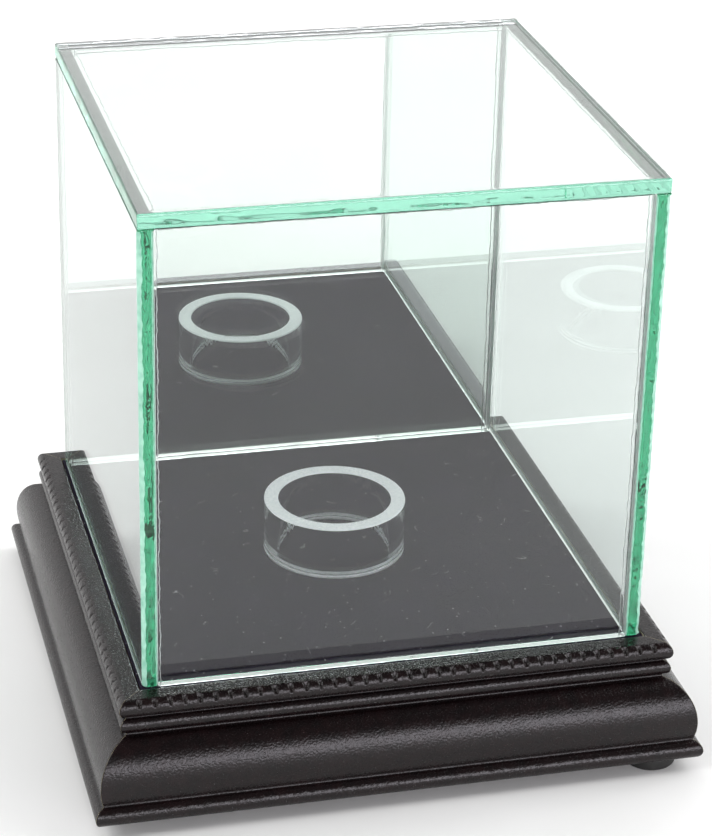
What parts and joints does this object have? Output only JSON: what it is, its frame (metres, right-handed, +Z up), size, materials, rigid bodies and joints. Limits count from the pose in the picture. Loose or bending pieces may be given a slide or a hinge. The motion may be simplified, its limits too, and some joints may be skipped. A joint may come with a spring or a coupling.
{
  "type": "display case",
  "caption": "Square table-top display case: loose glass cover with a mirror back on a low carved black base, and a clear ring inside that holds a ball.",
  "frame": {"origin": "centre of the ground plane under the four feet", "axes": "+Z up, -Y towards the front pane, +Y towards the mirror pane, +X to the viewer's right"},
  "size_m": [0.132, 0.132, 0.1325],
  "materials": {
    "moulding": "satin black lacquer over carved wood moulding",
    "hardboard": "plain brown hardboard",
    "lining": "matt black lining paper, a little dusty",
    "rubber": "moulded black rubber",
    "steel": "bright steel",
    "float_glass": "clear float glass with ground green edges",
    "mirror_glass": "silvered float glass",
    "backing_paint": "grey protective paint behind the silver",
    "adhesive": "clear cured adhesive fillet",
    "clear_acrylic": "clear tube with frosted sawn ends"
  },
  "bodies": {
    "base": {"rail_front": "moulding", "rail_right": "moulding", "rail_back": "moulding", "rail_left": "moulding", "mitre_nails": "steel", "board_brads": "steel", "floor_board": "hardboard", "floor_lining": "lining", "foot_front_left": "rubber", "foot_front_right": "rubber", "foot_back_right": "rubber", "foot_back_left": "rubber"},
    "cover": {"pane_front": "float_glass", "pane_left": "float_glass", "pane_right": "float_glass", "pane_top": "float_glass", "pane_back_mirror": "mirror_glass", "mirror_backing": "backing_paint", "seam_front_left": "adhesive", "seam_front_right": "adhesive", "seam_back_right": "adhesive", "seam_back_left": "adhesive", "seam_top_front": "adhesive", "seam_top_right": "adhesive", "seam_top_back": "adhesive", "seam_top_left": "adhesive"},
    "ring": {"ball_ring": "clear_acrylic"}
  },
  "joints": [
    {"name": "cover_lift", "type": "slide", "parent": "base", "child": "cover", "axis": [0, 0, 1], "range_m": [0, 0.11]},
    {"name": "ring_lift", "type": "slide", "parent": "base", "child": "ring", "axis": [0, 0, 1], "range_m": [0, 0.05]}
  ]
}
